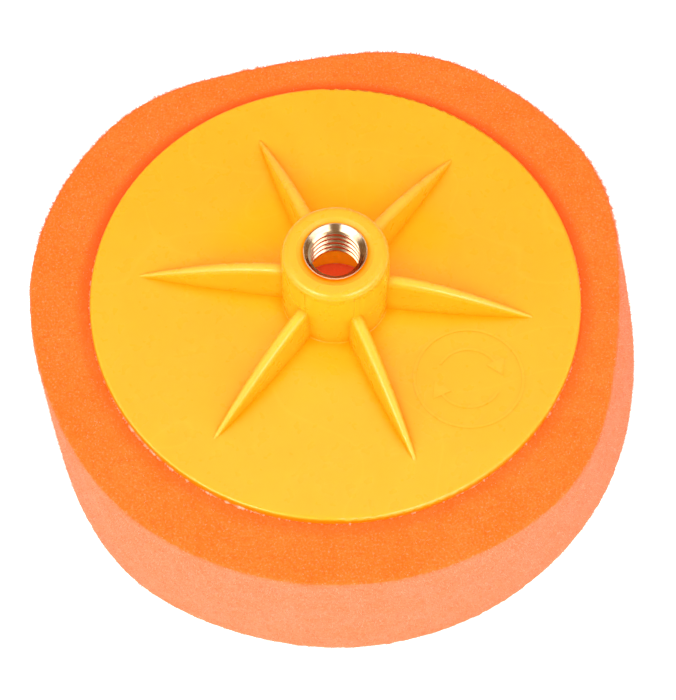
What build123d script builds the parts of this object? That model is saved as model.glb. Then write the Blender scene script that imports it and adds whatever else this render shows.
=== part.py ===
from build123d import *
import os
from math import cos, pi, radians, sin, tan

# Polishing pad for a rotary machine: a thick foam disc bonded to a plastic backing plate.
# Millimetres. The origin is on the spindle axis at the polishing face, +Z points out of the hub's mouth.

# ---- Driving dimensions ----
foam_thickness = 46.5
foam_radius_at_plate = 77.6
foam_radius_at_face = 76.7
face_centre_shift = (0.5, 0.9)
foam_face_rounding = 3.8
foam_edge_rounding = 0.8

bond_thickness = 0.3
bond_bead_width = 0.7
bond_bead_height = 0.6

plate_radius = 61.5
plate_thickness = 2.2
plate_rim_rounding = 0.9

hub_radius = 13.2
hub_height = 22.8
hub_mouth_rounding = 2.0
hub_root_rounding = 0.35
hub_core_radius = 10.6
hub_core_draft = 3.0
mouth_dish_radius = 9.6
mouth_dish_depth = 1.0

rib_count = 6
rib_first_angle = -6.8
rib_tip_radius = 49.6
rib_sunk_length = 1.6
rib_sunk_depth = 2.0
rib_height = 12.0
rib_root_half_width = 1.65
rib_tip_half_width = 0.5
rib_width_power = 2.2
rib_draft = 2.0
rib_crown_roundness = 0.8
rib_fall_at_root = 0.12
rib_fall_in_middle = 1.33
rib_fall_at_tip = -0.45
rib_section_count = 8
hub_strip_width = 1.3
hub_strip_relief = 0.15

# M14 x 2 spindle thread, the usual one on rotary polishers and angle grinders.
thread_pitch = 2.0
thread_major_radius = 7.0
thread_minor_radius = 6.1
thread_flank_angle = 30.0
thread_phase = 1.75

insert_length = 12.0
insert_neck_radius = 7.85
insert_band_radius = 9.2
insert_groove_radius = 8.3
insert_neck_length = 1.4
insert_band_length = 3.6
insert_groove_length = 1.6
insert_mouth_radius = 7.6
insert_exit_radius = 7.3
knurl_count = 30
knurl_depth = 0.4

mark_distance = 40.2
mark_angle = -35.0
mark_ring_radius = 13.8
mark_arrow_count = 2
mark_arrow_radius = 8.0
mark_arrow_first_angle = 25.0
mark_arrow_span = 125.0
mark_head_size = 5.0
mark_line_width = 0.7
mark_relief = 0.2

# ---- Levels and sizes worked out from them ----
plate_bottom = foam_thickness + bond_thickness
plate_top = plate_bottom + plate_thickness
hub_top = plate_top + hub_height
insert_bottom = hub_top - insert_length
thread_depth = thread_major_radius - thread_minor_radius

os.makedirs("parts", exist_ok=True)


# ---- Foam pad ----
# A disc that is pressed out of round. Each dent: its direction, its depth at the plate's side and at the polishing
# face, where a negative depth is a bulge, and half of its width in degrees.
foam_dents = [
    (102.0, 5.5, -1.2, 38.0),
    (355.0, 6.6, -0.5, 43.0),
    (198.0, 1.6, 1.9, 36.0),
    (224.0, 0.0, -1.2, 36.0),
]
dent_fade = 2.4
outline_points = 48
foam_levels = [0.0, 11.5, 23.0, 34.5, foam_thickness]


def dent_depth(direction, share, dent):
    """How deep one dent is in a direction, at a share of the foam's thickness above the polishing face."""
    centre, depth_at_plate, depth_at_face, half_width = dent
    away = abs((direction - centre + 180.0) % 360.0 - 180.0)
    if away > half_width:
        return 0.0
    depth = depth_at_face + (depth_at_plate - depth_at_face) * share**dent_fade
    return depth * (1 + cos(pi * away / half_width)) / 2


def foam_outline(level):
    """Closed outline of the foam at a height: a circle less its dents."""
    share = level / foam_thickness
    base_radius = foam_radius_at_face + (foam_radius_at_plate - foam_radius_at_face) * share
    shift_x, shift_y = (shift * (1 - share) for shift in face_centre_shift)
    points = []
    for step in range(outline_points):
        direction = 360.0 * step / outline_points
        radius = base_radius - sum(dent_depth(direction, share, dent) for dent in foam_dents)
        angle = radians(direction)
        points.append((shift_x + radius * cos(angle), shift_y + radius * sin(angle)))
    return points


with BuildPart() as foam_pad:
    for level in foam_levels:
        with BuildSketch(Plane.XY.offset(level)):
            with BuildLine():
                Spline(*foam_outline(level), periodic=True)
            make_face()
    loft()
    fillet(foam_pad.faces().sort_by(Axis.Z)[0].edges(), radius=foam_face_rounding)
    fillet(foam_pad.faces().sort_by(Axis.Z)[-1].edges(), radius=foam_edge_rounding)
foam_pad.part.label = "foam_pad"


# ---- Adhesive layer ----
# A thin ring of bond between foam and plate, open at the hub's core, with a bead squeezed out round the rim.
with BuildPart() as adhesive_layer:
    with BuildSketch(Plane.XZ):
        with BuildLine():
            Polyline(
                (hub_core_radius, foam_thickness),
                (plate_radius + bond_bead_width, foam_thickness),
                (plate_radius + bond_bead_width / 2, plate_bottom + bond_bead_height / 2),
                (plate_radius, plate_bottom + bond_bead_height),
                (plate_radius, plate_bottom),
                (hub_core_radius, plate_bottom),
                close=True,
            )
        make_face()
    revolve(axis=Axis.Z)
adhesive_layer.part.label = "adhesive_layer"


# ---- Threaded insert ----
# The outside steps between a plain neck, two knurled bands, the groove between them and a plain tail.
band_top = hub_top - insert_neck_length
lower_band_top = band_top - insert_band_length - insert_groove_length

with BuildPart() as insert_blank:
    with BuildSketch(Plane.XY.offset(insert_bottom)):
        Circle(insert_groove_radius)
    extrude(amount=band_top - insert_bottom)
    with BuildSketch(Plane.XY.offset(band_top)):
        Circle(insert_neck_radius)
    extrude(amount=insert_neck_length)
    for top in (band_top, lower_band_top):
        with BuildSketch(Plane.XY.offset(top - insert_band_length)):
            Circle(insert_band_radius)
            with PolarLocations(insert_band_radius, knurl_count):
                Polygon(
                    (knurl_depth, 2 * knurl_depth),
                    (-knurl_depth, 0),
                    (knurl_depth, -2 * knurl_depth),
                    align=None,
                    mode=Mode.SUBTRACT,
                )
        extrude(amount=insert_band_length)

# The groove of the thread is a trapezoid swept along a right-hand helix. It is cut right through a bar that is
# longer than the insert, and the bar is then cut down to the blank's shape and chamfered at both mouths.
bar_overhang = 3 * thread_pitch
groove_start = insert_bottom - 2 * thread_pitch + thread_phase
groove_height = insert_length + 4 * thread_pitch
groove_overlap = 0.1
groove_root_half = thread_pitch / 16
groove_mouth_half = groove_root_half + (thread_depth + groove_overlap) * tan(radians(thread_flank_angle))

with BuildPart() as thread_groove:
    with BuildLine() as groove_path:
        Helix(
            pitch=thread_pitch,
            height=groove_height,
            radius=thread_minor_radius,
            center=(0, 0, groove_start),
        )
    with BuildSketch(Plane(origin=groove_path.line @ 0, x_dir=(1, 0, 0), z_dir=groove_path.line % 0)):
        Polygon(
            (-groove_overlap, -groove_mouth_half),
            (thread_depth, -groove_root_half),
            (thread_depth, groove_root_half),
            (-groove_overlap, groove_mouth_half),
            align=None,
        )
    sweep(path=groove_path.line, is_frenet=True)

with BuildPart() as threaded_insert:
    with BuildSketch(Plane.XY.offset(insert_bottom - bar_overhang)):
        Circle(insert_band_radius)
        Circle(thread_minor_radius, mode=Mode.SUBTRACT)
    extrude(amount=insert_length + 2 * bar_overhang)
    add(thread_groove.part, mode=Mode.SUBTRACT)
    with BuildSketch(Plane.XZ):
        with BuildLine():
            Polyline(
                (0, hub_top + bar_overhang),
                (insert_mouth_radius + bar_overhang, hub_top + bar_overhang),
                (0, hub_top - insert_mouth_radius),
                close=True,
            )
        make_face()
        with BuildLine():
            Polyline(
                (0, insert_bottom - bar_overhang),
                (insert_exit_radius + bar_overhang, insert_bottom - bar_overhang),
                (0, insert_bottom + insert_exit_radius),
                close=True,
            )
        make_face()
    revolve(axis=Axis.Z, mode=Mode.SUBTRACT)
    add(insert_blank.part, mode=Mode.INTERSECT)
threaded_insert.part.label = "threaded_insert"


# ---- Backing plate ----
# One rib, with draft, as a smooth skin over cross-sections. Its crown is round from side to side and falls along
# a curve to the plate. The rib narrows towards its tip and runs on a little below the plate's face, so that it
# ends in a soft point.
rib_foot = plate_top - rib_sunk_depth


def rib_section(radius):
    """A rib's outline at a distance from the spindle axis, seen along the rib."""
    share = max(0.0, (radius - hub_radius) / (rib_tip_radius - hub_radius))
    fall = rib_fall_at_root * share + rib_fall_in_middle * share**2 + rib_fall_at_tip * share**3
    crown = plate_top + rib_height * (1.0 - fall)
    half_width = rib_root_half_width - (rib_root_half_width - rib_tip_half_width) * share**rib_width_power
    shoulder = crown - rib_crown_roundness * half_width
    foot_half_width = half_width + (shoulder - rib_foot) * tan(radians(rib_draft))
    with BuildSketch(Plane(origin=(radius, 0, 0), x_dir=(0, 1, 0), z_dir=(1, 0, 0))) as section:
        with BuildLine():
            Polyline(
                (-half_width, shoulder),
                (-foot_half_width, rib_foot),
                (foot_half_width, rib_foot),
                (half_width, shoulder),
            )
            ThreePointArc((half_width, shoulder), (0, crown), (-half_width, shoulder))
        make_face()
    return section.sketch


with BuildPart() as rib:
    rib_start = hub_core_radius + 1.0
    rib_length = rib_tip_radius + rib_sunk_length - rib_start
    for station in range(rib_section_count):
        add(rib_section(rib_start + rib_length * station / (rib_section_count - 1)))
    loft()

# A shallow strip carries each rib's line on up the hub's wall, as far as the rounding at its mouth.
with BuildPart() as hub_strip:
    with BuildSketch(Plane.XY.offset(plate_top)):
        with Locations((hub_radius, 0)):
            Rectangle(2 * hub_strip_relief, hub_strip_width)
    extrude(amount=hub_height - hub_mouth_rounding)

# A ring with two clockwise turning arrows in it, as faint relief.
mark_centre = (mark_distance * cos(radians(mark_angle)), mark_distance * sin(radians(mark_angle)))
mark_plane = Plane(origin=(*mark_centre, plate_top))

with BuildSketch() as turning_arrow:
    with BuildLine():
        CenterArc((0, 0), mark_arrow_radius, mark_arrow_first_angle, mark_arrow_span)
        offset(amount=mark_line_width / 2, side=Side.BOTH)
    make_face()
    with PolarLocations(mark_arrow_radius, 1, start_angle=mark_arrow_first_angle):
        Triangle(a=mark_head_size, b=mark_head_size, c=mark_head_size, rotation=180)

with BuildPart() as mould_mark:
    with BuildSketch(mark_plane):
        Circle(mark_ring_radius)
        Circle(mark_ring_radius - mark_line_width, mode=Mode.SUBTRACT)
        with PolarLocations(0, mark_arrow_count):
            add(turning_arrow.sketch)
    extrude(amount=mark_relief)

with BuildPart() as backing_plate:
    with BuildSketch(Plane.XY.offset(plate_bottom)):
        Circle(plate_radius)
    extrude(amount=plate_thickness)
    fillet(backing_plate.faces().sort_by(Axis.Z)[-1].edges(), radius=plate_rim_rounding)
    with BuildSketch(Plane.XY.offset(plate_top)):
        Circle(hub_radius)
    extrude(amount=hub_height)
    fillet(backing_plate.faces().sort_by(Axis.Z)[-1].edges(), radius=hub_mouth_rounding)
    hub_root = backing_plate.edges().filter_by(GeomType.CIRCLE).filter_by(
        lambda edge: abs(edge.radius - hub_radius) < 0.01 and abs(edge.arc_center.Z - plate_top) < 0.01
    )
    fillet(hub_root, radius=hub_root_rounding)
    with PolarLocations(0, rib_count, start_angle=rib_first_angle):
        add(rib.part)
        add(hub_strip.part)
    add(mould_mark.part)
    # dish round the mouth
    with BuildSketch(Plane.XZ):
        with BuildLine():
            Polyline(
                (0, hub_top),
                (mouth_dish_radius, hub_top),
                (insert_neck_radius, hub_top - mouth_dish_depth),
                (0, hub_top - mouth_dish_depth),
                close=True,
            )
        make_face()
    revolve(axis=Axis.Z, mode=Mode.SUBTRACT)
    # hollow core under the insert
    with BuildSketch(Plane.XY.offset(plate_bottom)):
        Circle(hub_core_radius)
    extrude(amount=insert_bottom - plate_bottom, taper=hub_core_draft, mode=Mode.SUBTRACT)
    add(insert_blank.part, mode=Mode.SUBTRACT)
backing_plate.part.label = "backing_plate"

for piece in (foam_pad, adhesive_layer, backing_plate, threaded_insert):
    export_step(piece.part, f"parts/{piece.part.label}.step")
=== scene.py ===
from math import cos, pi, radians, sin, tau

import bpy
import numpy as np
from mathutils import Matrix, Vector, noise


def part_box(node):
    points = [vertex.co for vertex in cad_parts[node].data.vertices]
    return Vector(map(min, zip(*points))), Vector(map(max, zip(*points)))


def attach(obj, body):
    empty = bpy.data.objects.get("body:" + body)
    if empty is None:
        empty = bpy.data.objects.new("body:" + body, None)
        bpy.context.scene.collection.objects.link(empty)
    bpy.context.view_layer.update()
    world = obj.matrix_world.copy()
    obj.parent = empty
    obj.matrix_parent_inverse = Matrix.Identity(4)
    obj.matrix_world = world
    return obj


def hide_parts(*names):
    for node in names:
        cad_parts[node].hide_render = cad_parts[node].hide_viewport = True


# Looks for the polishing pad: a foam disc with its cut skin, the squeezed-out bond round the plate,
# the moulded yellow plate and the turned brass insert. Metres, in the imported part's frame.

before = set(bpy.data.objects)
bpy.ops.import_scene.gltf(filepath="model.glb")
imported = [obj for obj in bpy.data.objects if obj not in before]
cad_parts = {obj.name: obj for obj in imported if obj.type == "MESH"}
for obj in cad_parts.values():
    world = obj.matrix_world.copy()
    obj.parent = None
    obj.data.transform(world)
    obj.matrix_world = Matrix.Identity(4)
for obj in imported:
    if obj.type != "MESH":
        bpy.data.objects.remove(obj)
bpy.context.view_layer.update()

mm = 0.001


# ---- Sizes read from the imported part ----
_, foam_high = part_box("foam_pad")
plate_low, plate_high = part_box("backing_plate")
insert_low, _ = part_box("threaded_insert")

foam_thickness = foam_high.z
plate_radius = plate_high.x
plate_bottom = plate_low.z
plate_top = plate_bottom + 2.2 * mm
hub_top = plate_high.z
hub_radius = 13.2 * mm
core_radius = 10.6 * mm
core_top = insert_low.z


# ---- Small helpers for shapes ----
def smooth_step(low, high, value):
    """0 below low, 1 above high and an even curve between them."""
    share = np.clip((value - low) / (high - low), 0.0, 1.0)
    return share * share * (3.0 - 2.0 * share)


def noise_values(points, pitch, seed):
    """Perlin noise from -1 to 1 at each point, with features about one pitch apart."""
    shift = Vector((seed * 17.3, seed * 5.9, seed * 11.1))
    return np.array([noise.noise(Vector(point) / pitch + shift) for point in points])


def new_object(name, data):
    """A new object for a mesh, a light or a camera, in the scene."""
    piece = bpy.data.objects.new(name, data)
    bpy.context.scene.collection.objects.link(piece)
    return piece


def mesh_from(name, points, faces):
    """A smooth-shaded mesh from arrays of points and faces."""
    mesh = bpy.data.meshes.new(name)
    mesh.from_pydata([tuple(point) for point in points], [], [tuple(face) for face in faces])
    mesh.shade_smooth()
    mesh.update()
    return mesh


def mesh_vectors(mesh, name):
    """The points of a mesh, or the normals at them, as an array: the name is co or normal."""
    vectors = np.zeros(len(mesh.vertices) * 3)
    mesh.vertices.foreach_get(name, vectors)
    return vectors.reshape(-1, 3)


def unit(vectors):
    """Vectors with the same directions and a length of 1."""
    return vectors / np.linalg.norm(vectors, axis=1)[:, None]


def band_faces(lower, upper):
    """Faces that join two rings of equally many points."""
    after_lower = lower[1:] + lower[:1]
    after_upper = upper[1:] + upper[:1]
    return list(zip(lower, after_lower, after_upper, upper))


# ---- Foam: the same squeezed outline as the part's solid ----
foam_radius_at_plate = 77.6 * mm
foam_radius_at_face = 76.7 * mm
face_centre_shift = (0.5 * mm, 0.9 * mm)
foam_face_rounding = 3.8 * mm
foam_edge_rounding = 0.8 * mm
# direction, depth at the plate, depth at the polishing face, half width in degrees
foam_dents = [
    (102.0, 5.5 * mm, -1.2 * mm, 38.0),
    (355.0, 6.6 * mm, -0.5 * mm, 43.0),
    (198.0, 1.6 * mm, 1.9 * mm, 36.0),
    (224.0, 0.0 * mm, -1.2 * mm, 36.0),
]
dent_fade = 2.4
outline_steps = 360
corner_steps = 6
side_steps = 24
foam_voxel = 0.8 * mm
# depth and spacing: two slow waves of the hot wire that cut the foam, and two sizes of torn cells
foam_relief = [
    (0.12 * mm, 16.0 * mm),
    (0.04 * mm, 5.0 * mm),
    (0.12 * mm, 1.9 * mm),
    (0.18 * mm, 1.1 * mm),
]


def foam_radius(direction, share):
    """The foam's radius in a direction, at a share of its thickness above the polishing face."""
    radius = foam_radius_at_face + (foam_radius_at_plate - foam_radius_at_face) * share
    for centre, depth_at_plate, depth_at_face, half_width in foam_dents:
        away = abs((direction - centre + 180.0) % 360.0 - 180.0)
        if away < half_width:
            depth = depth_at_face + (depth_at_plate - depth_at_face) * share**dent_fade
            radius -= depth * (1.0 + cos(pi * away / half_width)) / 2.0
    return radius


def foam_ring(level, inset):
    """One ring of the foam's outline at a height, drawn in by an inset."""
    share = level / foam_thickness
    points = []
    for step in range(outline_steps):
        direction = 360.0 * step / outline_steps
        radius = foam_radius(direction, share) - inset
        angle = radians(direction)
        x = face_centre_shift[0] * (1.0 - share) + radius * cos(angle)
        y = face_centre_shift[1] * (1.0 - share) + radius * sin(angle)
        points.append((x, y, level))
    return points


def foam_blank():
    """The foam's plain closed shape, with its rounded edges."""
    turns = [radians(90.0 * step / corner_steps) for step in range(corner_steps + 1)]
    levels = []
    for turn in turns:
        levels.append((foam_face_rounding * (1.0 - cos(turn)), foam_face_rounding * (1.0 - sin(turn))))
    for level in np.linspace(foam_face_rounding, foam_thickness - foam_edge_rounding, side_steps)[1:-1]:
        levels.append((level, 0.0))
    for turn in turns:
        drop = foam_edge_rounding * (1.0 - sin(turn))
        levels.append((foam_thickness - drop, foam_edge_rounding * (1.0 - cos(turn))))
    rings = []
    points = []
    for level, inset in levels:
        first = len(points)
        points += foam_ring(level, inset)
        rings.append(list(range(first, len(points))))
    faces = []
    for lower, upper in zip(rings[:-1], rings[1:]):
        faces += band_faces(lower, upper)
    faces += [rings[0][::-1], rings[-1]]
    return mesh_from("foam_blank", points, faces)


def remeshed(mesh, voxel):
    """A copy of a closed mesh with even faces about one voxel wide."""
    blank = new_object("remesh_blank", mesh)
    remesh = blank.modifiers.new("even_faces", "REMESH")
    remesh.mode = "VOXEL"
    remesh.voxel_size = voxel
    graph = bpy.context.evaluated_depsgraph_get()
    even = bpy.data.meshes.new_from_object(blank.evaluated_get(graph))
    bpy.data.objects.remove(blank)
    return even


def make_foam(material):
    """The foam disc: torn cells on its skin and slow waves in its cut side, but flat under the plate."""
    mesh = remeshed(foam_blank(), foam_voxel)
    mesh.name = "foam_block"
    points = mesh_vectors(mesh, "co")
    normals = mesh_vectors(mesh, "normal")
    radius = np.hypot(points[:, 0], points[:, 1])
    covered = (points[:, 2] > foam_thickness - 1.0 * mm) & (radius < plate_radius - 1.0 * mm)
    relief = np.zeros(len(points))
    for seed, (depth, pitch) in enumerate(foam_relief, start=1):
        relief += depth * noise_values(points, pitch, seed)
    points += normals * np.where(covered, 0.0, relief)[:, None]
    points[:, 2] = np.maximum(points[:, 2], 0.0)
    mesh.vertices.foreach_set("co", points.ravel())
    mesh.shade_smooth()
    mesh.update()
    mesh.materials.clear()
    mesh.materials.append(material)
    return new_object("foam_block", mesh)


# ---- Torn cell walls that stand off the foam's skin ----
strut_count = 40000
strut_seed = 7
strut_corners = 3
strut_length = (0.3 * mm, 0.95 * mm)
strut_width = (0.035 * mm, 0.065 * mm)
strut_scatter = 0.25 * mm
strut_lean = 0.55
strut_root_depth = 0.15 * mm
far_edge_length = 1.35
far_edge_width = 1.3
# how likely a strut is on a flat top, how much likelier on the side, and at the far edge
chance_on_top = 0.25
chance_added_on_side = 0.75
chance_at_far_edge = 5.0


def strut_chances(points, side, at_edge):
    """How likely each point is to carry a strut: never on the polishing face or under the plate."""
    radius = np.hypot(points[:, 0], points[:, 1])
    on_face = points[:, 2] < 1.5 * mm
    under_plate = (points[:, 2] > foam_thickness - 0.6 * mm) & (radius < plate_radius + 1.0 * mm)
    chance = np.where(at_edge, chance_at_far_edge, chance_on_top + chance_added_on_side * side)
    chance = np.where(on_face | under_plate, 0.0, chance)
    return chance / chance.sum()


def make_struts(foam, material, count, seed):
    """The torn cell walls, as thin closed spikes. They are longer along the foam's far upper edge."""
    random = np.random.default_rng(seed)
    points = mesh_vectors(foam.data, "co")
    normals = mesh_vectors(foam.data, "normal")
    side = smooth_step(0.1, 0.6, 1.0 - np.abs(normals[:, 2]))
    at_edge = (points[:, 2] > foam_thickness - 1.5 * mm) & (points[:, 1] > 15.0 * mm) & (side > 0.05)
    chosen = random.choice(len(points), size=count, p=strut_chances(points, side, at_edge))
    outward = normals[chosen]
    on_edge = at_edge[chosen]

    spot = points[chosen] + random.normal(0.0, strut_scatter, (count, 3)) * (1.0 - np.abs(outward))
    along = unit(outward + random.normal(0.0, strut_lean, (count, 3)))
    length = random.uniform(*strut_length, count) * np.where(on_edge, far_edge_length, 1.0)
    width = random.uniform(*strut_width, count) * np.where(on_edge, far_edge_width, 1.0)
    across = unit(np.cross(along, random.normal(0.0, 1.0, (count, 3))))
    third = np.cross(along, across)
    root = spot - outward * strut_root_depth
    corners = []
    for step in range(strut_corners):
        angle = tau * step / strut_corners
        corners.append(root + (across * cos(angle) + third * sin(angle)) * width[:, None])
    tip = spot + along * length[:, None]

    strut_points = np.stack(corners + [tip], axis=1).reshape(-1, 3)
    first = np.arange(count)[:, None, None] * (strut_corners + 1)
    spike = np.array([[0, 1, 3], [1, 2, 3], [2, 0, 3], [2, 1, 0]])
    faces = (first + spike[None]).reshape(-1, 3)
    struts = new_object("foam_struts", mesh_from("foam_struts", strut_points, faces))
    struts.data.materials.append(material)
    return struts


# ---- Bond: a thin layer with an uneven bead squeezed out round the plate's rim ----
bond_steps = 1080
bond_overlap = 0.02 * mm
bead_points = 7
bead_root = plate_radius - 0.3 * mm
bead_reach = (-0.15 * mm, 0.6 * mm)
bead_rise = (0.05 * mm, 0.55 * mm)
# the bead's thick and thin stretches, and the lumps along it
stretch_pitch = 2.6
stretch_share = 1.3
lump_pitch = 130.0
lump_share = 1.6
lump_start = 0.1


def bond_profile(about):
    """The bond's outline in one direction from the axis, as radius and height, with its bead."""
    stretch = noise.noise(about * stretch_pitch + Vector((3.0, 0.0, 0.0)))
    lump = lump_start + stretch_share * stretch + lump_share * noise.noise(about * lump_pitch)
    lump = min(max(0.0, lump), 1.0)
    out = plate_radius + bead_reach[0] + bead_reach[1] * lump
    rise = bead_rise[0] + bead_rise[1] * lump
    low = foam_thickness - bond_overlap
    high = plate_bottom + bond_overlap
    profile = [(core_radius, low)]
    for step in range(bead_points):
        angle = pi / 2 * step / (bead_points - 1)
        radius = bead_root + (out - bead_root) * cos(angle)
        profile.append((radius, low + (plate_bottom - low + rise) * sin(angle)))
    profile.append((bead_root, high))
    profile.append((core_radius, high))
    return profile


def make_bond(material):
    """The adhesive under the plate, with lumps and gaps along its outer bead."""
    rings = []
    points = []
    for step in range(bond_steps):
        angle = tau * step / bond_steps
        about = Vector((cos(angle), sin(angle), 0.0))
        first = len(points)
        points += [(radius * about.x, radius * about.y, level) for radius, level in bond_profile(about)]
        rings.append(list(range(first, len(points))))
    faces = []
    for ring, after in zip(rings, rings[1:] + rings[:1]):
        faces += band_faces(after, ring)
    bond = new_object("bond_bead", mesh_from("bond_bead", points, faces))
    bond.data.materials.append(material)
    return bond


# ---- Small helpers for materials ----
black = (0.0, 0.0, 0.0)


def new_material(name):
    """A material with its node tree and its Principled shader."""
    material = bpy.data.materials.new(name)
    material.use_nodes = True
    tree = material.node_tree
    return material, tree, tree.nodes["Principled BSDF"]


def put(tree, socket, value):
    """Sets a socket to a number, a colour, or another node's output."""
    if isinstance(value, bpy.types.NodeSocket):
        tree.links.new(value, socket)
    elif isinstance(value, tuple) and len(value) != len(socket.default_value):
        socket.default_value = (*value, 1.0)
    else:
        socket.default_value = value


def add_node(tree, kind, settings, *inputs, **named_inputs):
    """A node of a kind, with its settings and its inputs: the first ones in order, others by name."""
    made = tree.nodes.new(kind)
    for key, value in settings.items():
        setattr(made, key, value)
    for socket, value in zip(made.inputs, inputs):
        put(tree, socket, value)
    for key, value in named_inputs.items():
        put(tree, made.inputs[key], value)
    return made


def mix_colour(tree, share, first, second):
    """A colour between two colours, as an output."""
    made = tree.nodes.new("ShaderNodeMix")
    made.data_type = "RGBA"
    for index, value in ((0, share), (6, first), (7, second)):
        put(tree, made.inputs[index], value)
    return made.outputs[2]


def ranged(tree, value, low, high, to_low=0.0, to_high=1.0):
    """A value taken from one range to another with a smooth curve, as an output."""
    settings = {"interpolation_type": "SMOOTHSTEP"}
    return add_node(tree, "ShaderNodeMapRange", settings, value, low, high, to_low, to_high).outputs[0]


def calculate(tree, operation, first, second=0.0):
    """A number worked out from two others, as an output."""
    return add_node(tree, "ShaderNodeMath", {"operation": operation}, first, second).outputs[0]


def times(tree, first, *others):
    """Numbers multiplied together, as an output."""
    product = first
    for other in others:
        product = calculate(tree, "MULTIPLY", product, other)
    return product


def speckle(tree, place, scale, detail=2.0, **named_inputs):
    """A noise pattern from 0 to 1, with scale features in a metre, as an output."""
    made = add_node(
        tree, "ShaderNodeTexNoise", {}, Vector=place, Scale=scale, Detail=detail, **named_inputs
    )
    return made.outputs[0]


def bump(tree, shader, height, strength, distance):
    """Gives a shader a bump from a height."""
    made = add_node(tree, "ShaderNodeBump", {}, Strength=strength, Distance=distance, Height=height)
    tree.links.new(made.outputs[0], shader.inputs["Normal"])


def coordinates(tree):
    """The row frame's coordinates, as an output."""
    return tree.nodes.new("ShaderNodeTexCoord").outputs["Object"]


def parts_of(tree, vector):
    """The X, Y and Z of a vector, as outputs."""
    return add_node(tree, "ShaderNodeSeparateXYZ", {}, vector).outputs


def upness(tree):
    """The Z of the surface's normal, as an output."""
    return parts_of(tree, tree.nodes.new("ShaderNodeNewGeometry").outputs["Normal"])["Z"]


def spindle_distance(tree, place):
    """How far a point is from the spindle axis, as an output."""
    parts = parts_of(tree, place)
    flat = add_node(tree, "ShaderNodeCombineXYZ", {}, parts["X"], parts["Y"])
    return add_node(tree, "ShaderNodeVectorMath", {"operation": "LENGTH"}, flat.outputs[0]).outputs["Value"]


def core_mask(tree, place, top):
    """1 inside the hollow core under the insert, up to a height, and 0 elsewhere, as an output."""
    height = parts_of(tree, place)["Z"]
    inside = calculate(tree, "LESS_THAN", spindle_distance(tree, place), core_radius + 0.2 * mm)
    below = calculate(tree, "LESS_THAN", height, top)
    above = calculate(tree, "GREATER_THAN", height, foam_thickness - 1.0 * mm)
    return times(tree, inside, below, above)


def set_shader(shader, values):
    """Sets the shader's own sockets, by their names."""
    for name, value in values.items():
        shader.inputs[name].default_value = value


# ---- Foam material ----
def foam_colour(tree, place, fine):
    """Deep orange on flat faces and paler, pinker on the upright sides, partly the cut's own colour and
    partly a painted sheen, with pale cell walls, dark pores and a painted shade beside the plate's rim.
    """
    side = ranged(tree, calculate(tree, "ABSOLUTE", upness(tree)), 0.85, 0.35)
    slow = ranged(tree, speckle(tree, place, 140.0, 4.0), 0.3, 0.7)
    top_colour = mix_colour(tree, slow, (1.0, 0.160, 0.016), (1.0, 0.180, 0.024))
    # painted sheen: the upright sides are paler and pinker than the top, partly the cut's own colour
    side_cut_and_sheen_colour = mix_colour(tree, slow, (1.0, 0.190, 0.073), (1.0, 0.212, 0.095))
    body = mix_colour(tree, side, top_colour, side_cut_and_sheen_colour)

    cell_walls = times(tree, ranged(tree, fine, 0.52, 0.72), 0.52)
    walled = mix_colour(tree, cell_walls, body, (1.0, 0.34, 0.19))
    pores = times(tree, ranged(tree, fine, 0.48, 0.30), 0.6)
    dotted = mix_colour(tree, pores, walled, (0.98, 0.085, 0.004))
    tufts = speckle(tree, place, 620.0, Roughness=0.6)
    hollows = times(tree, ranged(tree, tufts, 0.50, 0.30), 0.3)
    tufted = mix_colour(tree, hollows, dotted, (0.98, 0.105, 0.007))

    # the plate's rim keeps light off the foam beside it, more on the far side, away from the big light
    by_rim = ranged(tree, spindle_distance(tree, place), plate_radius + 4.4 * mm, plate_radius + 1.2 * mm)
    far_side = ranged(tree, parts_of(tree, place)["Y"], -25.0 * mm, 30.0 * mm, 0.35, 0.85)
    return mix_colour(tree, times(tree, by_rim, far_side), tufted, (1.0, 0.095, 0.012))


def foam_material():
    """Open-cell foam: dull, a little see-through, with torn cells as fine bumps."""
    material, tree, shader = new_material("cut_foam")
    place = coordinates(tree)
    fine = speckle(tree, place, 1700.0, 3.0, Roughness=0.75)
    tree.links.new(foam_colour(tree, place, fine), shader.inputs["Base Color"])

    cells = add_node(tree, "ShaderNodeTexVoronoi", {"feature": "F1"}, Vector=place, Scale=1500.0)
    torn = calculate(tree, "ADD", times(tree, cells.outputs["Distance"], 0.5), fine)
    bump(tree, shader, torn, 0.5, 0.25 * mm)

    # painted glow: the foam at the floor of the hollow core glows faintly, standing in for light that
    # reaches it there
    core_painted_glow = mix_colour(tree, core_mask(tree, place, plate_bottom), black, (0.0, 0.014, 0.008))
    tree.links.new(core_painted_glow, shader.inputs["Emission Color"])
    set_shader(
        shader,
        {
            "Emission Strength": 1.0,
            "Roughness": 1.0,
            "Specular IOR Level": 0.0,
            "Sheen Weight": 0.10,
            "Sheen Roughness": 0.5,
            "Sheen Tint": (1.0, 0.80, 0.70, 1.0),
            "Subsurface Weight": 0.2,
            "Subsurface Radius": (1.0, 0.35, 0.1),
            "Subsurface Scale": 2.0 * mm,
        },
    )
    return material


def strut_material():
    """Torn cell walls: pale pink to orange."""
    material, tree, shader = new_material("torn_cell_walls")
    shade = ranged(tree, speckle(tree, coordinates(tree), 800.0, 1.0), 0.35, 0.65)
    colour = mix_colour(tree, shade, (1.0, 0.25, 0.09), (1.0, 0.50, 0.34))
    tree.links.new(colour, shader.inputs["Base Color"])
    set_shader(shader, {"Roughness": 0.8, "Specular IOR Level": 0.2})
    return material


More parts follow.
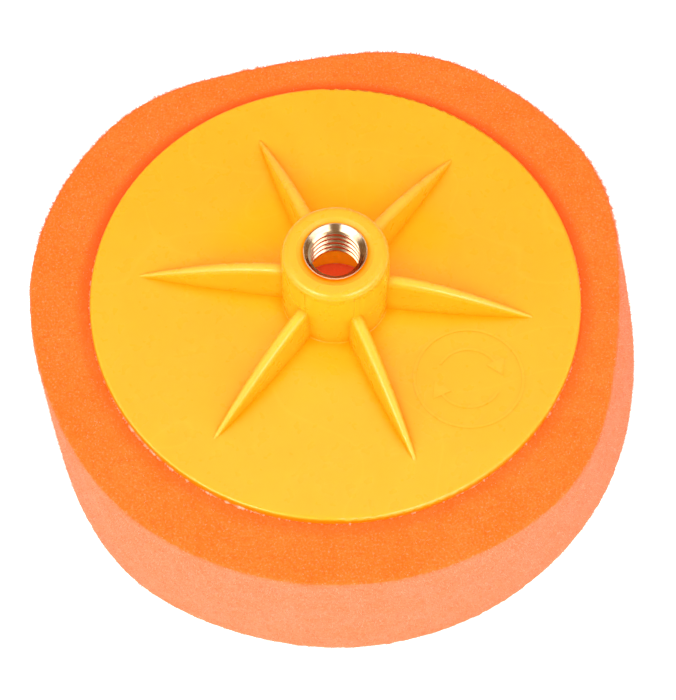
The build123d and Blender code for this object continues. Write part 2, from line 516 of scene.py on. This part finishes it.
# ---- Bond material ----
def bond_material():
    """Dried adhesive with foam dust in it: orange to pale pink, dull and lumpy."""
    material, tree, shader = new_material("dried_bond")
    dust = speckle(tree, coordinates(tree), 900.0, 3.0)
    colour = mix_colour(tree, ranged(tree, dust, 0.35, 0.65), (1.0, 0.17, 0.02), (1.0, 0.42, 0.26))
    tree.links.new(colour, shader.inputs["Base Color"])
    bump(tree, shader, dust, 0.7, 0.2 * mm)
    set_shader(shader, {"Roughness": 0.6})
    return material


# ---- Plate material ----
def plastic_colour(tree, place):
    """The yellow plastic itself, with thin pale lines that wander across it."""
    cloud = ranged(tree, speckle(tree, place, 28.0, 3.0, Distortion=1.2), 0.3, 0.7)
    base = mix_colour(tree, cloud, (1.0, 0.380, 0.007), (1.0, 0.400, 0.011))
    front = speckle(tree, place, 20.0, 0.0, Distortion=1.5)
    off_line = calculate(tree, "ABSOLUTE", calculate(tree, "SUBTRACT", front, 0.5))
    lines = times(tree, ranged(tree, off_line, 0.010, 0.0), 0.22)
    return mix_colour(tree, lines, base, (1.0, 0.47, 0.03))


def painted_top_light(tree, height, facing, colour):
    """A colour with painted light on the tops that stand up from the plate: the ribs' crowns made paler, and
    the hub's mouth only a little paler.
    """
    above_plate = ranged(tree, height, plate_top + 0.05 * mm, plate_top + 0.6 * mm)
    # painted highlight: the up-facing tops above the plate are made paler
    crowns = times(tree, above_plate, ranged(tree, facing, 0.55, 0.97))
    ribbed = mix_colour(tree, crowns, colour, (1.0, 0.465, 0.038))
    by_mouth = ranged(tree, height, plate_top + 14.0 * mm, plate_top + 18.0 * mm)
    mouth = times(tree, by_mouth, ranged(tree, facing, 0.35, 0.97), 0.85)
    return mix_colour(tree, mouth, ribbed, (1.0, 0.400, 0.012))


def painted_rim_light(tree, at_rim, facing, colour):
    """A colour with painted light at the plate's rim: a slightly paler edge as a painted highlight, and a
    deep orange side as painted shade with a painted reflection of the foam.
    """
    edge = times(tree, at_rim, ranged(tree, facing, 0.35, 0.97), 0.05)
    edged = mix_colour(tree, edge, colour, (1.0, 0.52, 0.060))
    wall = times(tree, at_rim, ranged(tree, facing, 0.85, 0.45))
    return mix_colour(tree, wall, edged, (1.0, 0.27, 0.0))


def plate_glow(tree, place, at_rim, facing, sheltered):
    """Painted glow, standing in for light passed on by the plastic: on upright walls, on the plate round and
    behind the hub, and in the hollow core.
    """
    height = parts_of(tree, place)["Z"]
    steep = ranged(tree, calculate(tree, "ABSOLUTE", facing), 0.6, 0.1)
    upright = times(tree, steep, calculate(tree, "SUBTRACT", 1.0, at_rim))
    level = calculate(tree, "SUBTRACT", 1.0, upright)
    near_hub = times(tree, ranged(tree, spindle_distance(tree, place), 34.0 * mm, hub_radius), 0.10)
    on_level = calculate(tree, "ADD", near_hub, times(tree, sheltered, 0.07))
    passed_on = calculate(tree, "ADD", times(tree, upright, 0.20), times(tree, level, on_level))
    below_mouth = ranged(tree, height, hub_top - 1.5 * mm, hub_top - 4.0 * mm)
    glow = mix_colour(tree, times(tree, passed_on, below_mouth), black, (0.80, 0.36, 0.010))
    return mix_colour(tree, core_mask(tree, place, core_top), glow, (0.12, 0.065, 0.0))


def plate_material():
    """Injection-moulded yellow plastic, with painted light: paler on its raised tops, deep orange painted
    shade in its creases, a painted glow, and painted light at its rim.
    """
    material, tree, shader = new_material("moulded_yellow")
    place = coordinates(tree)
    parts = parts_of(tree, place)
    reach = spindle_distance(tree, place)
    facing = upness(tree)
    at_rim = ranged(tree, reach, plate_radius - 1.1 * mm, plate_radius - 0.6 * mm)

    # the hub keeps the big light off the plate behind it
    behind = ranged(tree, parts["Y"], 4.0 * mm, 22.0 * mm)
    around = ranged(tree, reach, 42.0 * mm, 27.0 * mm)
    low_down = ranged(tree, parts["Z"], plate_top + 9.0 * mm, plate_top + 2.0 * mm)
    sheltered = times(tree, around, behind, low_down)

    # painted shade: the creases, where faces meet within a few millimetres, are darkened to deep orange
    crease = add_node(tree, "ShaderNodeAmbientOcclusion", {"samples": 16}, Distance=4.0 * mm)
    depth = ranged(tree, crease.outputs["AO"], 0.95, 0.35)

    raised = painted_top_light(tree, parts["Z"], facing, plastic_colour(tree, place))
    rim_lit_colour = painted_rim_light(tree, at_rim, facing, raised)
    tree.links.new(mix_colour(tree, depth, rim_lit_colour, (1.0, 0.275, 0.0)), shader.inputs["Base Color"])
    tree.links.new(plate_glow(tree, place, at_rim, facing, sheltered), shader.inputs["Emission Color"])

    # gloss: a slightly uneven skin, duller in the creases and behind the hub
    skin = speckle(tree, place, 300.0)
    tree.links.new(ranged(tree, skin, 0.3, 0.7, 0.27, 0.30), shader.inputs["Roughness"])
    dull = calculate(tree, "MAXIMUM", sheltered, depth)
    tree.links.new(ranged(tree, dull, 0.0, 1.0, 0.4, 0.05), shader.inputs["Specular IOR Level"])
    bump(tree, shader, speckle(tree, place, 60.0, 1.0, Distortion=1.0), 0.3, 0.1 * mm)
    set_shader(
        shader,
        {
            "Emission Strength": 1.0,
            "IOR": 1.49,
            "Subsurface Weight": 0.3,
            "Subsurface Radius": (1.0, 0.4, 0.05),
            "Subsurface Scale": 5.0 * mm,
        },
    )
    return material


# ---- Brass material ----
def brass_material():
    """Turned brass with fine tool marks round the bore."""
    material, tree, shader = new_material("turned_brass")
    place = coordinates(tree)
    stain = ranged(tree, speckle(tree, place, 420.0, 3.0), 0.35, 0.7)
    colour = mix_colour(tree, stain, (0.92, 0.67, 0.43), (0.86, 0.58, 0.33))
    tree.links.new(colour, shader.inputs["Base Color"])
    stretched = add_node(tree, "ShaderNodeMapping", {}, place, Scale=(120.0, 120.0, 9000.0))
    marks = speckle(tree, stretched.outputs[0], 1.0)
    tree.links.new(ranged(tree, marks, 0.3, 0.7, 0.10, 0.20), shader.inputs["Roughness"])
    bump(tree, shader, marks, 0.25, 0.02 * mm)
    set_shader(shader, {"Metallic": 1.0})
    return material


def dress(node, material):
    """Gives a CAD node's object one material on all of its slots."""
    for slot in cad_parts[node].material_slots:
        slot.material = material


# ---- The pieces ----
cut_foam = foam_material()
foam = make_foam(cut_foam)
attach(foam, "root")
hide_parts("foam_pad")

struts = make_struts(foam, strut_material(), strut_count, strut_seed)
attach(struts, "root")

bond = make_bond(bond_material())
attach(bond, "root")
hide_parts("adhesive_layer")

dress("backing_plate", plate_material())
dress("threaded_insert", brass_material())


# ---- Stage ----
floor_half_width = 3.0
floor_gap = 0.2 * mm
card_reach = 0.9
card_steps = 8
ring_card_reach = 0.95
ring_card_steps = 48
# the warm cards stand for yellow plastic and orange foam seen in the brass
warm = (1.0, 0.62, 0.32)
neutral = (1.0, 0.95, 0.90)


def floor_material():
    """A white table top that also glows a little, so that only a trace of shadow is left."""
    material, _, shader = new_material("white_table")
    set_shader(
        shader,
        {
            "Base Color": (0.9, 0.9, 0.9, 1.0),
            "Roughness": 0.9,
            "Specular IOR Level": 0.0,
            "Emission Color": (1.0, 1.0, 1.0, 1.0),
            "Emission Strength": 0.55,
        },
    )
    material.cycles.emission_sampling = "NONE"
    return material


def make_floor():
    """A wide white table top, a hair's breadth under the pad."""
    half = floor_half_width
    corners = [(x, y, -floor_gap) for x, y in ((-half, -half), (half, -half), (half, half), (-half, half))]
    floor = new_object("floor", mesh_from("floor", corners, [(0, 1, 2, 3)]))
    floor.data.materials.append(floor_material())


def make_world(strength):
    """Even white light from all round."""
    world = bpy.data.worlds.new("studio")
    world.use_nodes = True
    background = world.node_tree.nodes["Background"]
    background.inputs["Color"].default_value = (1.0, 1.0, 1.0, 1.0)
    background.inputs["Strength"].default_value = strength
    world.cycles.sampling_method = "NONE"
    bpy.context.scene.world = world


def make_light(name, place, width, height, power, in_diffuse=True, in_gloss=True):
    """A soft box that looks at the pad, and can be left out of diffuse light or out of reflections."""
    data = bpy.data.lights.new(name, "AREA")
    data.shape = "RECTANGLE"
    data.size = width
    data.size_y = height
    data.energy = power
    light = new_object(name, data)
    light.visible_diffuse = in_diffuse
    light.visible_glossy = in_gloss
    light.location = place
    toward = Vector((0.0, 0.0, plate_top)) - Vector(place)
    light.rotation_euler = toward.to_track_quat("-Z", "Y").to_euler()


def dress_card(card, tint, glow):
    """Gives a card its glow, and leaves it out of everything but reflections."""
    material, _, shader = new_material(card.name)
    set_shader(
        shader,
        {
            "Base Color": (*black, 1.0),
            "Specular IOR Level": 0.0,
            "Emission Color": (*tint, 1.0),
            "Emission Strength": glow,
        },
    )
    material.cycles.emission_sampling = "NONE"
    card.data.materials.append(material)
    card.visible_camera = False
    card.visible_diffuse = False
    card.visible_transmission = False
    card.visible_shadow = False


def make_card(name, first_angle, last_angle, half_width, tint, glow):
    """A bent card over the pad. Its angles run from the front, over the top, to the back."""
    points = []
    for step in range(card_steps + 1):
        angle = radians(first_angle + (last_angle - first_angle) * step / card_steps)
        for side in (-half_width, half_width):
            points.append((side, -card_reach * cos(angle), plate_top + card_reach * sin(angle)))
    faces = [(first, first + 1, first + 3, first + 2) for first in range(0, 2 * card_steps, 2)]
    dress_card(new_object(name, mesh_from(name, points, faces)), tint, glow)


def make_ring_card(name, low, high, tint, glow):
    """A round wall of card far outside the pad, between two heights."""
    points = []
    for level in (low, high):
        for step in range(ring_card_steps):
            angle = tau * step / ring_card_steps
            points.append((ring_card_reach * cos(angle), ring_card_reach * sin(angle), level))
    numbers = list(range(len(points)))
    faces = band_faces(numbers[:ring_card_steps], numbers[ring_card_steps:])
    dress_card(new_object(name, mesh_from(name, points, faces)), tint, glow)


def make_camera():
    """The camera stands in front of the pad and looks steeply down on it."""
    distance = 0.761
    elevation = radians(61.48)
    side_step = 0.67 * mm
    tilt = radians(1.02)
    data = bpy.data.cameras.new("camera")
    data.sensor_width = 36.0
    data.lens = 156.5
    data.clip_start = 0.01
    camera = new_object("camera", data)
    camera.location = (side_step, -distance * cos(elevation), plate_top + distance * sin(elevation))
    camera.rotation_euler = (pi / 2 - elevation - tilt, 0.0, 0.0)
    bpy.context.scene.camera = camera


make_floor()
make_world(0.50)
# one big light near the camera and two at the sides, which aren't seen in the gloss
make_light("fill_box", (-0.05, -0.63, 1.16), 1.0, 1.0, 17.0, in_gloss=False)
make_light("soft_box_left", (-0.82, -0.30, 0.62), 0.9, 0.6, 2.6, in_gloss=False)
make_light("soft_box_right", (0.82, -0.30, 0.62), 0.9, 0.6, 2.2, in_gloss=False)
# lights and cards that are only seen in the gloss of the plastic and the brass
make_light("gloss_box_left", (-0.58, -0.41, 0.60), 1.05, 0.55, 4.4, in_diffuse=False)
make_light("gloss_box_right", (0.58, -0.41, 0.60), 1.05, 0.55, 3.8, in_diffuse=False)
make_light("spark_left", (-0.42, -0.50, 0.68), 0.35, 0.20, 2.6, in_diffuse=False)
make_light("spark_right", (0.42, -0.50, 0.68), 0.35, 0.20, 2.4, in_diffuse=False)
make_card("unlit_front", 24.0, 60.0, 0.17, warm, 0.22)
make_card("unlit_ceiling", 60.0, 100.0, 0.50, warm, 0.22)
make_card("lit_back", 100.0, 117.0, 0.60, neutral, 2.35)
make_card("unlit_back", 117.0, 165.0, 0.60, neutral, 0.25)
make_ring_card("unlit_walls", 0.0, 0.30, warm, 0.20)
make_camera()
bpy.context.scene.view_settings.view_transform = "Standard"
